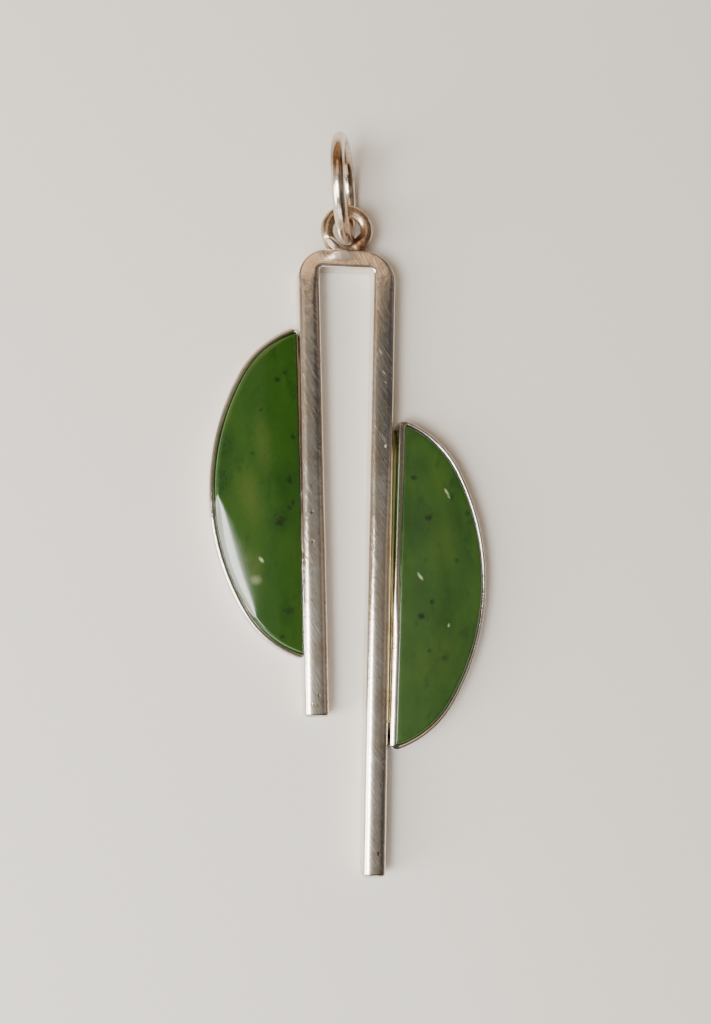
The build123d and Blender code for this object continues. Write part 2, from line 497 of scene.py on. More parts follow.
@dataclass(frozen=True)
class WornSterling:
    """Silver that was filed and polished by hand, then worn: satin flats, smoother edges.

    The usual values are those of the bar. It gives the eye a warm cream white where it mirrors
    light, a grey brown where it mirrors the dark, and soft streaks of fine scratches over both.
    """

    name: str = "sterling_silver_worn"
    bright: str = "#e6e2dc"
    warm: str = "#c9b398"
    edge: str = "#d3b69c"
    tarnish_and_shade: str = "#7d5a40"
    cut: str = "#fffaf0"
    pit: str = "#3c3026"
    # How strong the warm patches are, how rough the satin is, how the scratches lean in degrees.
    aged: float = 0.45
    roughness: float = 0.12
    scratch_turn: float = 30.0
    # How rough the hair scratches are, how bright they are, and how rough the stains and the painted shade
    # are.
    scratched: float = 0.25
    streaks: float = 0.5
    stain_and_shade_roughness: float = 1.0
    # Depth of the scratches, in millimetres.
    relief: float = 0.008
    stains_and_shade: tuple[Mark, ...] = (
        Mark(1.05, 0.5, 0.8, 0.95, 0.8, 10.0),
        Mark(-0.2, -0.35, 1.2, 0.8, 0.55),
        Mark(0.75, -0.6, 0.1, 0.7, 0.8, 25.0),
        Mark(-0.1, -0.5, 0.08, 0.5, 0.6, 30.0),
    )
    scratches: tuple[Mark, ...] = (
        Mark(2.51, -7.69, 0.05, 0.42, 1.0, 28.0),
        Mark(2.77, -9.28, 0.05, 0.28, 0.9, 38.0),
        Mark(2.91, -10.03, 0.05, 0.24, 0.8, 34.0),
        Mark(2.88, -14.81, 0.16, 0.2, 1.0, 0.0),
        Mark(2.69, -17.63, 0.035, 0.4, 0.5, 24.0),
        Mark(-2.36, -28.53, 0.035, 0.35, 0.4, 24.0),
    )
    pits: tuple[Mark, ...] = (
        Mark(-2.61, -19.83, 0.11, 0.16, 0.9),
        Mark(-2.58, -20.73, 0.08, 0.12, 0.7),
        Mark(-2.57, -21.98, 0.1, 0.18, 0.8),
        Mark(-2.08, -33.22, 0.1, 0.12, 0.8),
        Mark(-2.63, -33.83, 0.09, 0.1, 0.7),
        Mark(2.30, -44.69, 0.13, 0.2, 0.9),
        Mark(2.49, -39.83, 0.06, 0.3, 0.4),
    )

    def material(self) -> Material:
        """Builds the material.

        Returns:
            The material.
        """
        recipe = Recipe(self.name, {"Metallic": 1.0})
        add, place = recipe.add, recipe.place
        worn = add("ShaderNodeAttribute", {"attribute_name": "worn"}, output="Fac")
        # Hair scratches are 0.03 mm wide on the real silver and are drawn at 0.12 mm, so that they
        # show. Wide ones, blotches and fine blotches have their real sizes.
        slanting = add("ShaderNodeMapping", TEXTURE, drawn_out(place, self.scratch_turn, length=14))
        hairs = add("ShaderNodeTexNoise", SOLID, pattern(0.12, slanting, rough=0.6))
        crossing = add("ShaderNodeMapping", TEXTURE, drawn_out(place, self.scratch_turn - 8, length=10))
        wide_hairs = add("ShaderNodeTexNoise", SOLID, pattern(0.4, crossing, detail=2.0))
        blotches = add("ShaderNodeTexNoise", SOLID, pattern(2.6, place, detail=4.0, rough=0.6))
        fine_blotches = add("ShaderNodeTexNoise", SOLID, pattern(0.5, place))
        stained_and_shaded = recipe.marks(self.stains_and_shade, ragged=0.12)
        drawn = recipe.marks(self.scratches, ragged=0.02)
        pitted = recipe.marks(self.pits, ragged=0.07)

        # Colour: warm patches, a pink cream tint on the front's rounded shoulders, grime and stains
        # (painted shade with a painted reflection of the stone on the burnished strip), bright hairs, pits.
        patches = add("ShaderNodeMapRange", SMOOTH, span(blotches, 0.4, 0.68))
        grime = add("ShaderNodeMapRange", SMOOTH, span(fine_blotches, 0.58, 0.78, end=0.3))
        layers = (
            (add("ShaderNodeMath", TIMES, {0: patches, 1: self.aged}), self.warm),
            (add("ShaderNodeMath", TIMES, {0: worn, 1: 0.4}), self.edge),
            # Grime and stains; on the burnished strip this layer is painted shade with a painted reflection
            # of the stone.
            (add("ShaderNodeMath", LARGER, {0: grime, 1: stained_and_shaded}), self.tarnish_and_shade),
            (add("ShaderNodeMapRange", SMOOTH, span(hairs, 0.46, 0.64, end=self.streaks)), self.bright),
            (drawn, self.cut),
            (add("ShaderNodeMath", TIMES, {0: pitted, 1: 0.8}), self.pit),
        )
        recipe.paint(self.bright, layers)

        # Gloss: satin, smoother on worn edges, duller along hairs, scratches, stains and the strip's
        # painted shade.
        limits = (self.roughness - 0.02, self.roughness + 0.03)
        satin = add("ShaderNodeMapRange", SMOOTH, span(wide_hairs, 0.3, 0.7, *limits))
        rubbed = add("ShaderNodeMath", TIMES, {0: worn, 1: -0.04})
        smoothed = add("ShaderNodeMath", PLUS, {0: satin, 1: rubbed})
        dull = add("ShaderNodeMapRange", SMOOTH, span(hairs, 0.46, 0.68, end=self.scratched))
        for marked, most in ((drawn, 0.5), (stained_and_shaded, self.stain_and_shade_roughness)):
            share = add("ShaderNodeMath", TIMES, {0: marked, 1: most})
            dull = add("ShaderNodeMath", LARGER, {0: dull, 1: share})
        recipe.link(add("ShaderNodeMath", LARGER, {0: smoothed, 1: dull}), "Roughness")

        # Relief: hairs and fine blotches stand up, pits go down.
        share = add("ShaderNodeMath", TIMES, {0: fine_blotches, 1: 0.8})
        height = add("ShaderNodeMath", PLUS, {0: hairs, 1: share})
        share = add("ShaderNodeMath", TIMES, {0: pitted, 1: 2.0})
        height = add("ShaderNodeMath", LESS, {0: height, 1: share})
        links = {"Height": height, "Distance": self.relief * MM, "Strength": 1.0}
        recipe.link(add("ShaderNodeBump", links=links), "Normal")
        return recipe.material


@dataclass(frozen=True)
class Nephrite:
    """Nephrite jade with a soft glossy polish, slightly see-through, with dark mineral specks.

    It gives the eye an even, deep green with faint clouds and a clear reflection on top.
    """

    name: str
    body: str
    cloud: str
    deep: str
    pale: tuple[Mark, ...]
    pale_colour: str
    dark: tuple[Mark, ...]
    dark_colour: str
    specks: tuple[Mark, ...]
    flecks: tuple[Mark, ...]
    speck_colour: str = "#10220a"
    fleck_colour: str = "#b9c2a0"

    def material(self) -> Material:
        """Builds the material.

        Returns:
            The material.
        """
        constants = {
            "IOR": 1.75,
            "Subsurface Weight": 0.2,
            "Subsurface Radius": (0.5 * MM, 1.0 * MM, 0.3 * MM),
            "Subsurface Scale": 1.0,
        }
        recipe = Recipe(self.name, constants)
        add, place = recipe.add, recipe.place
        leaning = add("ShaderNodeMapping", TEXTURE, drawn_out(place, turn=6, length=2.2))
        clouds = add("ShaderNodeTexNoise", SOLID, pattern(3.0, leaning, rough=0.55))
        crossing = add("ShaderNodeMapping", TEXTURE, drawn_out(place, turn=-10, length=2.0))
        veins = add("ShaderNodeTexNoise", SOLID, pattern(1.1, crossing, detail=4.0, rough=0.6))
        crystals = add("ShaderNodeTexNoise", SOLID, pattern(0.35, place, rough=0.6))
        layers = (
            (add("ShaderNodeMapRange", SMOOTH, span(clouds, 0.35, 0.68)), self.cloud),
            # Pale marks; on the left stone they are partly painted reflection.
            (recipe.marks(self.pale, ragged=0.4), self.pale_colour),
            (add("ShaderNodeMapRange", SMOOTH, span(veins, 0.52, 0.72, end=0.7)), self.deep),
            (recipe.marks(self.dark, ragged=0.4), self.dark_colour),
            (add("ShaderNodeMapRange", SMOOTH, span(crystals, 0.4, 0.8, end=0.25)), self.cloud),
            (recipe.marks(self.specks, ragged=0.14), self.speck_colour),
            (recipe.marks(self.flecks, ragged=0.08), self.fleck_colour),
        )
        recipe.paint(self.body, layers)
        gloss = add("ShaderNodeMapRange", SMOOTH, span(crystals, 0.3, 0.8, start=0.13, end=0.2))
        recipe.link(gloss, "Roughness")
        return recipe.material


@dataclass(frozen=True)
class PaleCard:
    """Pale matt card under the pendant: it gives the eye an even, dull off-white."""

    name: str = "floor_pale_card"
    colour: str = "#e9e6e0"
    fibre: str = "#d8d3ca"

    def material(self) -> Material:
        """Builds the material.

        Returns:
            The material.
        """
        recipe = Recipe(self.name, {"Roughness": 0.9, "Specular IOR Level": 0.2})
        fibres = recipe.add("ShaderNodeTexNoise", SOLID, pattern(0.6, recipe.place, detail=4.0))
        share = recipe.add("ShaderNodeMapRange", SMOOTH, span(fibres, 0.3, 0.7, end=0.06))
        recipe.paint(self.colour, ((share, self.fibre),))
        return recipe.material


# Sterling bar, satin with slanting scratches: warm cream light over grey brown.
BAR_SILVER = WornSterling()
# Solder left as it ran: a dull yellow grey without sharp reflections.
SEAM_SOLDER = WornSterling(
    name="silver_solder_dull",
    bright="#a89a78",
    warm="#8a7a55",
    aged=0.8,
    streaks=0.0,
    roughness=0.34,
    scratched=0.0,
    stains_and_shade=(),
    scratches=(),
    pits=(),
)
# Fine silver strip, burnished over the stones: a smooth bright line. On the right setting's straight wall
# it has a grey green mark, which is painted shade with a painted reflection of the green stone, and is
# duller there.
STRIP_SILVER = WornSterling(
    name="fine_silver_burnished",
    tarnish_and_shade="#6f8a68",
    roughness=0.1,
    scratched=0.0,
    streaks=0.0,
    stain_and_shade_roughness=0.4,
    # Painted shade and a painted reflection of the stone over the upper part of the right setting's
    # straight wall.
    stains_and_shade=(Mark(3.58, -19.0, 0.7, 9.8, 1.0, -1.8),),
    scratches=(),
    pits=(),
)
# Sterling wire, tarnished: a soft brown with few bright streaks.
LOOP_SILVER = WornSterling(
    name="sterling_silver_tarnished",
    bright="#cbb8a3",
    warm="#8a6a4c",
    edge="#cbb8a3",
    tarnish_and_shade="#5e3d24",
    aged=0.95,
    roughness=0.25,
    scratched=0.3,
    streaks=0.2,
    stain_and_shade_roughness=0.5,
    stains_and_shade=(Mark(0.95, 0.55, 1.25, 1.3, 1.0, 10.0), Mark(0.3, 0.15, 1.0, 0.45, 0.9)),
)
# Sterling wire, rubbed clean by wear: bright cream with warm patches.
RING_SILVER = WornSterling(
    name="sterling_silver_ring",
    bright="#e4d8c8",
    warm="#96734f",
    aged=0.9,
    roughness=0.18,
    scratched=0.25,
    streaks=0.3,
)
# The left stone: an even yellow green, with painted reflection in its pale patches left of the middle.
LEFT_JADE = Nephrite(
    name="nephrite_yellow_green",
    body="#1e4307",
    cloud="#294a0d",
    deep="#163a05",
    # Pale patches left of the middle: partly the stone's own lighter clouds, partly a painted reflection of
    # the dim light that its polish mirrors there.
    pale=(
        Mark(-6.3, -14.8, 0.9, 2.8, 0.5, 6.0),
        Mark(-7.2, -18.6, 1.1, 2.8, 0.6, 12.0),
        Mark(-7.0, -23.8, 0.9, 2.0, 0.6, 20.0),
    ),
    pale_colour="#44551f",
    dark=(
        Mark(-9.0, -15.2, 0.9, 2.0, 0.7, -8.0),
        Mark(-9.2, -17.6, 0.8, 1.4, 0.8),
        Mark(-4.6, -17.8, 1.0, 2.4, 0.5),
        Mark(-4.9, -20.4, 1.2, 1.3, 0.7),
        Mark(-4.4, -27.3, 1.0, 1.2, 0.5),
    ),
    dark_colour="#113507",
    specks=(
        Mark(-5.22, -10.02, 0.3, 0.26, 0.8),
        Mark(-4.64, -9.50, 0.22, 0.25, 0.7),
        Mark(-6.45, -12.34, 0.2, 0.24, 0.6),
        Mark(-4.03, -14.22, 0.24, 0.3, 0.8),
        Mark(-7.03, -15.55, 0.3, 0.26, 0.6),
        Mark(-4.29, -17.42, 0.3, 0.45, 0.7),
        Mark(-4.02, -19.11, 0.22, 0.3, 0.8),
        Mark(-4.28, -19.53, 0.26, 0.26, 0.85),
        Mark(-5.03, -20.60, 0.42, 0.3, 1.0, 20.0),
        Mark(-4.81, -20.33, 0.24, 0.22, 0.8),
        Mark(-4.26, -27.02, 0.55, 0.4, 0.6),
        Mark(-4.78, -28.95, 0.3, 0.26, 0.7),
    ),
    flecks=(Mark(-6.35, -23.35, 0.17, 0.3, 0.8, 35.0), Mark(-6.75, -24.82, 0.5, 0.45, 0.25)),
)
# The right stone: a greyer and bluer green.
RIGHT_JADE = Nephrite(
    name="nephrite_blue_green",
    body="#1f3c10",
    cloud="#2c4a18",
    deep="#183512",
    pale=(
        Mark(7.0, -17.2, 0.8, 2.4, 0.5, 18.0),
        Mark(7.2, -21.8, 1.2, 2.6, 0.35),
        Mark(5.6, -31.2, 1.3, 2.0, 0.4),
        Mark(7.2, -30.4, 1.2, 2.4, 0.3, -15.0),
    ),
    pale_colour="#3a5017",
    dark=(
        Mark(5.3, -16.3, 1.1, 1.4, 0.5),
        Mark(5.0, -20.6, 1.2, 2.6, 0.5),
        Mark(8.9, -22.6, 0.8, 2.4, 0.3, -4.0),
        Mark(5.3, -25.6, 1.1, 2.4, 0.45),
    ),
    dark_colour="#163413",
    specks=(
        Mark(4.97, -17.16, 0.34, 0.3, 0.75),
        Mark(6.11, -20.14, 0.36, 0.32, 0.95),
        Mark(7.90, -18.57, 0.24, 0.45, 0.45),
        Mark(9.04, -19.81, 0.24, 0.4, 0.6),
        Mark(8.22, -23.34, 0.26, 0.28, 0.5),
        Mark(6.29, -26.42, 0.26, 0.26, 0.8),
        Mark(5.54, -27.43, 0.34, 0.3, 1.0),
        Mark(6.10, -29.98, 0.22, 0.24, 0.55),
        Mark(7.22, -30.49, 0.26, 0.22, 0.55),
        Mark(5.87, -23.27, 0.2, 0.22, 0.3),
    ),
    flecks=(
        Mark(7.47, -18.20, 0.12, 0.4, 0.6, 32.0),
        Mark(7.62, -18.55, 0.1, 0.25, 0.4, 32.0),
        Mark(5.43, -24.51, 0.13, 0.38, 0.7, 35.0),
        Mark(7.55, -28.12, 0.1, 0.16, 0.5),
    ),
    speck_colour="#0c1d0c",
)


# The pendant's sub-assemblies


def dress(piece: Object, node: str) -> Object:
    """Says which body carries a finished piece and the node it stands for.

    Args:
        piece: The piece.
        node: The CAD node that it replaces.

    Returns:
        The piece.
    """
    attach(piece, "root")
    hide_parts(node)
    LOG.info("%s: %d faces for %s", piece.name, len(piece.data.polygons), node)
    return piece


class SkinnedPiece:
    """A piece that is one closed skin over rings, with the waviness that its making leaves."""

    wave_depth: float
    wave_grain: float

    def rings(self) -> list[Ring]:
        """The rings, from one end of the skin to the other."""
        raise NotImplementedError

    def worn_edges(self) -> list[float] | None:
        """How worn each point of a ring is, where the finish shows it."""
        return None

    def build(
        self,
        name: str,
        finish: Material,
        seed: float,
        slot: str = "silver",
        node: str = "silver_frame",
    ) -> Object:
        """Makes the piece.

        Args:
            name: Its name.
            finish: Its material.
            seed: Which waviness it gets.
            slot: Not used.
            node: The CAD node that it replaces.

        Returns:
            The finished object.
        """
        piece = skin(name, self.rings(), self.worn_edges())
        HandFinish(self.wave_depth, self.wave_grain, seed).work(piece, finish)
        return dress(piece, node)


@dataclass
class BentBar(SkinnedPiece):
    """The square bar bent to a narrow upside-down U, its front edges worn round."""

    depth: float = 2.0
    width: float = 1.38
    leg_width: float = 1.65
    gap: float = 4.12
    left_inner_lean: float = 1.33
    right_inner_lean: float = 1.1
    outer_lean: float = 1.08
    left_reach: float = 34.8
    right_reach: float = 46.4
    left_bend: float = 2.2
    right_bend: float = 2.45
    left_inner_bend: float = 0.15
    right_inner_bend: float = 0.37
    front_drop: float = 0.55
    # How square the front is, as the power of a superellipse, on each leg and on the right one's
    # upper part, which is reached between two heights. The bend adds top_power, which fades over
    # top_reach, and the left leg's value turns into the right one's over the width turn_over.
    left_power: float = 3.3
    right_power: float = 3.0
    right_upper_power: float = 5.2
    upper_from: float = -22.0
    upper_full: float = -11.0
    top_power: float = 4.0
    top_reach: float = 3.0
    turn_over: float = 4.0
    back_round: float = 0.12
    foot_round: float = 0.14
    worn_top: float = 0.06
    worn_reach: float = 2.6
    # Distance of two sections on a leg, then how many points the parts of a section have.
    step: float = 0.3
    back_points: int = 4
    side_points: int = 6
    front_points: int = 34
    wave_depth: float = 0.016
    wave_grain: float = 2.4

    def inner_x(self, side: Side, y: float) -> float:
        """Distance of a leg's inner face from the middle at height y."""
        lean = self.left_inner_lean if side is Side.LEFT else self.right_inner_lean
        return self.gap / 2 - math.tan(math.radians(lean)) * (-self.width - y)

    def outer_x(self, y: float) -> float:
        """Distance of a leg's outer face from the middle at height y."""
        return self.gap / 2 + self.leg_width - math.tan(math.radians(self.outer_lean)) * (-self.width - y)

    def half_pairs(self, side: Side) -> list[tuple[Point2, Point2]]:
        """Outer and inner points of one leg and its bend, from the foot to the middle of the top.

        Args:
            side: The leg.

        Returns:
            Pairs of an outer and an inner point, drawn on the +x side.
        """
        left = side is Side.LEFT
        reach = self.left_reach if left else self.right_reach
        bend = self.left_bend if left else self.right_bend
        inner_bend = self.left_inner_bend if left else self.right_inner_bend
        count = int((reach - bend) / self.step)
        pairs = [
            ((self.outer_x(y), y), (self.inner_x(side, y), y))
            for y in np.linspace(-reach, -bend, count, endpoint=False)
        ]
        corner = (self.outer_x(-bend) - bend, -bend)
        on_line, on_arc = 6, 20
        outer = arc_points(corner, bend, 0, QUARTER_TURN, on_line + on_arc + on_line)
        inner_corner = (self.gap / 2 - inner_bend, -self.width - inner_bend)
        inner = line_points((self.inner_x(side, -bend), -bend), (self.gap / 2, inner_corner[1]), on_line)
        inner += arc_points(inner_corner, inner_bend, 0, QUARTER_TURN, on_arc)
        inner += line_points((inner_corner[0], -self.width), (corner[0], -self.width), on_line)
        pairs += list(zip(outer, inner))
        pairs += [((x, 0.0), (x, -self.width)) for x in np.linspace(corner[0], 0, 8)]
        return pairs

    def profile(self, width: float, shrink: float, power: float) -> list[Point2]:
        """The bar's section at one station.

        Args:
            width: Distance between the outer and the inner face there.
            shrink: How far the section is drawn in on all sides.
            power: How square its front is, as the power of a superellipse.

        Returns:
            Points as distance from the outer face and level, counter-clockwise from the back.
        """
        low, high = shrink, self.depth - shrink
        near, far = shrink, width - shrink
        back, middle = self.back_round, width / 2
        shoulder = self.depth - self.front_drop
        points = line_points((near + back, low), (far - back, low), self.back_points)
        points += arc_points((far - back, low + back), back, -QUARTER_TURN, 0, self.back_points)
        points += line_points((far, low + back), (far, shoulder), self.side_points)
        for angle in self.front_angles():
            reach = math.copysign(abs(math.cos(angle)) ** (2 / power), math.cos(angle))
            rise = math.sin(angle) ** (2 / power)
            points.append((middle + reach * (far - middle), shoulder + rise * (high - shoulder)))
        points += line_points((near, shoulder), (near, low + back), self.side_points)
        corner = (near + back, low + back)
        points += arc_points(corner, back, 2 * QUARTER_TURN, 3 * QUARTER_TURN, self.back_points)
        return points

    def front_angles(self) -> np.ndarray:
        """Where the points of the section's front lie on it, in radians."""
        return np.linspace(0, math.pi, self.front_points, endpoint=False)

    def worn_edges(self) -> list[float]:
        """Says how worn the parts of the section are.

        Returns:
            0 at the back and the sides, and up to 1 at the front's shoulders, for each point.
        """
        front = [abs(math.cos(angle)) ** 2 for angle in self.front_angles()]
        back, side = [0.0] * self.back_points, [0.0] * self.side_points
        return back + back + side + front + side + back

    def section(self, pair: tuple[Point2, Point2], shrink: float = 0.0) -> Ring:
        """Places the section between an outer and an inner point.

        Args:
            pair: The two points.
            shrink: How far the section is drawn in on all sides.

        Returns:
            Its points.
        """
        (ox, oy), (ix, iy) = pair
        width = math.hypot(ix - ox, iy - oy)
        across = ((ix - ox) / width, (iy - oy) / width)
        shape = self.profile(width, shrink, self.power(ox, oy))
        ring = [(ox + across[0] * s, oy + across[1] * s, z) for s, z in shape]
        return [(x, y, z - self.wear(y) * (z / self.depth) ** 2) for x, y, z in ring]

    def power(self, x: float, y: float) -> float:
        """How square the front is worn at one place: most at the bend.

        Args:
            x: Where the outer face is across the pendant.
            y: Its height.

        Returns:
            The power of the front's superellipse.
        """
        upper = clamp((y - self.upper_from) / (self.upper_full - self.upper_from))
        right = self.right_power + (self.right_upper_power - self.right_power) * upper
        share = clamp(0.5 + x / self.turn_over)
        bend = self.top_power * max(1 + y / self.top_reach, 0)
        return self.left_power + (right - self.left_power) * share + bend

    def wear(self, y: float) -> float:
        """How much the front is worn back at height y: only near the top of the bend."""
        return self.worn_top * max(1 + y / self.worn_reach, 0) ** 2

    def foot(self, pair: tuple[Point2, Point2]) -> list[Ring]:
        """Rounds off a foot.

        Args:
            pair: The outer and the inner point at the leg's end.

        Returns:
            Rings from the end face to the full section.
        """
        rings = []
        for angle in np.linspace(0, QUARTER_TURN, 5):
            shrink = self.foot_round * (1 - math.sin(angle))
            rings.append([(x, y + self.foot_round - shrink, z) for x, y, z in self.section(pair, shrink)])
        return rings

    def rings(self) -> list[Ring]:
        """Draws the bar.

        Returns:
            Rings from the shorter leg's foot over the bend to the longer leg's foot.
        """
        left = [((-o[0], o[1]), (-i[0], i[1])) for o, i in self.half_pairs(Side.LEFT)]
        right = self.half_pairs(Side.RIGHT)
        rings = self.foot(left[0]) + [self.section(pair) for pair in left[1:-1]]
        rings += [self.section(pair) for pair in reversed(right[1:])]
        return rings + list(reversed(self.foot(right[0])))


@dataclass
class Setting(SkinnedPiece):
    """A closed-back setting: a thin wall on a plate, its lip rubbed over a half-oval stone."""

    bar: BentBar
    side: Side
    length: float
    width: float
    # Its middle's distance below the bar's top edge, its gap to the leg, its turn in degrees.
    drop: float
    seam: float
    turn: float
    # The straight side's wall, how far its lip reaches over the stone, and the curved rim's width.
    straight_wall: float
    straight_lip: float
    rim: float
    # How much the straight side's outer edge is low below and above its middle, and how much its
    # lip stands up. The change between low below and above lies between two places along it, and
    # all of it fades within straight_reach.
    straight_low: float = 0.0
    straight_low_above: float = 0.0
    straight_rise: float = 0.0
    turns_from: float = -4.5
    turns_until: float = 1.5
    straight_reach: float = 0.4
    height: float = 1.8
    wall: float = 0.28
    plate: float = 0.35
    side_radius: float = 18.0
    end_radius: float = 7.6
    corner_round: float = 0.5
    least_round: float = 0.1
    # How many points the parts of the outline have.
    straight_points: int = 90
    corner_points: int = 8
    end_points: int = 44
    side_points: int = 96
    wave_depth: float = 0.03
    wave_grain: float = 1.1

    def arcs(self) -> tuple[float, float, Point2]:
        """The outline's two kinds of arc.

        Returns:
            The x of the side arc's centre, half the angle it spans, and the upper end arc's centre.
        """
        side_centre = self.width - self.side_radius
        spread = self.side_radius - self.end_radius
        corner = (-side_centre, self.length / 2)
        reach = math.hypot(*corner)
        cosine = (reach**2 + spread**2 - self.end_radius**2) / (2 * spread * reach)
        turn = math.atan2(corner[1], corner[0]) - math.acos(cosine)
        return side_centre, turn, (side_centre + spread * math.cos(turn), spread * math.sin(turn))

    def depth_from_curve(self, x: float, y: float) -> float:
        """How far a point inside lies from the curved side of the outline.

        Args:
            x: Its distance from the straight side.
            y: Its place along it from the middle.

        Returns:
            The distance.
        """
        side_centre, turn, end = self.arcs()
        if abs(math.atan2(y, x - side_centre)) <= turn:
            return self.side_radius - math.hypot(x - side_centre, y)
        return self.end_radius - math.hypot(x - end[0], abs(y) - end[1])

    def outline(self, inset: float, straight_inset: float) -> list[Point2]:
        """The half-oval outline moved inwards.

        Args:
            inset: How far its arcs are moved in.
            straight_inset: Where its straight side lies.

        Returns:
            Points in order, with the straight side towards x = 0 and the arcs towards +x.
        """
        side_centre, turn, end = self.arcs()
        end_r = self.end_radius - inset
        small = max(self.corner_round - inset, self.least_round)
        x = straight_inset + small
        y = end[1] + math.sqrt(max((end_r - small) ** 2 - (end[0] - x) ** 2, 0.0))
        tip_angle = math.atan2(y - end[1], x - end[0])
        points = line_points((straight_inset, -y), (straight_inset, y), self.straight_points)
        points += arc_points((x, y), small, math.pi, tip_angle, self.corner_points)
        points += arc_points(end, end_r, tip_angle, turn, self.end_points)
        points += arc_points((side_centre, 0), self.side_radius - inset, turn, -turn, self.side_points)
        points += arc_points((end[0], -end[1]), end_r, -turn, -tip_angle, self.end_points)
        points += arc_points((x, -y), small, -tip_angle, -math.pi, self.corner_points)
        return points

    def placed(self, ring: Sequence[Point2], levels: Sequence[float]) -> Ring:
        """Sets a ring on the outer face of the setting's leg.

        Args:
            ring: Points drawn with the straight side on x = 0 and the middle on y = 0.
            levels: The height of each point.

        Returns:
            The points in the drawing.
        """
        lean = -math.radians(self.bar.outer_lean + self.turn)
        cos, sin = math.cos(lean), math.sin(lean)
        result = []
        for (x, y), z in zip(ring, levels):
            x += self.seam
            px = self.bar.outer_x(-self.drop) + cos * x - sin * y
            py = -self.drop + sin * x + cos * y
            result.append((self.side.value * px, py, z))
        return result

    def lowered(self, y: float) -> float:
        """How much the straight wall's outer edge is low, y along it from its middle."""
        share = ease((y - self.turns_from) / (self.turns_until - self.turns_from))
        return self.straight_low + (self.straight_low_above - self.straight_low) * share

    def rings(self) -> list[Ring]:
        """Draws the setting.

        Returns:
            Rings up the outside of its wall, over the lip and down the inside to the plate.
        """
        straight = self.straight_wall
        lip = straight + self.straight_lip
        inner = self.rim
        top = self.height
        # How far in the arcs are, how far in the straight side is, and the level.
        levels = [
            (0.05, 0.05, 0.0),
            (0.015, 0.015, 0.015),
            (0.0, 0.0, 0.05),
            (0.0, 0.0, 0.6),
            (0.0, 0.0, 1.2),
            (0.0, 0.0, 1.55),
            (0.012, 0.008, top - 0.15),
            (0.035, 0.02, top - 0.07),
            (0.075, 0.045, top - 0.02),
            (0.12, 0.06, top),
            (0.5 * inner + 0.07, min(0.5 * lip + 0.02, 0.11), top - 0.005),
            (inner - 0.05, lip - 0.03, top - 0.04),
            (inner - 0.01, lip - 0.005, top - 0.075),
            (inner, lip, top - 0.12),
            (inner - 0.02, lip - 0.005, top - 0.2),
            (self.wall, straight, top - 0.42),
            (self.wall, straight, 0.9),
            (self.wall, straight, self.plate),
        ]
        rings = []
        for inset, straight_inset, z in levels:
            ring = self.outline(inset, straight_inset)
            share = min(straight_inset / lip, 1)
            heights = []
            for x, y in ring:
                lift = (self.straight_rise * share - self.lowered(y) * (1 - share)) * z / top
                heights.append(z + lift * max(1 - (x - straight_inset) / self.straight_reach, 0))
            rings.append(self.placed(ring, heights))
        return rings


@dataclass
class SolderSeam(SkinnedPiece):
    """The solder that fills the narrow wedge between a leg and its setting, sunk in the middle."""

    setting: Setting
    length: float = 23.4
    height: float = 1.7
    # How much it falls from the leg to the wall, how far it sinks, and how it thins at its ends.
    drop: float = 0.0
    sink: float = 0.06
    run_out: float = 2.0
    end_share: float = 0.25
    # How far it runs into its neighbours, and how far its underside is off the ground.
    bite: float = 0.08
    bottom: float = 0.03
    stations: int = 90
    wave_depth: float = 0.03
    wave_grain: float = 1.6

    def section(self, y: float) -> Ring:
        """The seam's section at one place along the setting.

        Args:
            y: Distance from the setting's middle along its straight side.

        Returns:
            Its points, which run into both neighbours a little.
        """
        wall = self.setting.placed([(self.bite, y)], [0.0])[0]
        side = self.setting.side.value
        level = wall[1]
        leg = side * (self.setting.bar.outer_x(level) - self.bite)
        inside = min((self.length / 2 - abs(y)) / self.run_out, 1.0)
        top = self.height * (self.end_share + (1 - self.end_share) * math.sin(inside * QUARTER_TURN))
        shares = np.linspace(0, 1, 9)
        upper = [
            (leg + (wall[0] - leg) * t, level, top - self.drop * t**3 - self.sink * math.sin(math.pi * t))
            for t in shares
        ]
        lower = [(leg + (wall[0] - leg) * t, level, self.bottom) for t in reversed(shares)]
        return upper + lower

    def rings(self) -> list[Ring]:
        """Sections from the seam's lower to its upper end."""
        half = self.length / 2
        return [self.section(y) for y in np.linspace(-half, half, self.stations)]


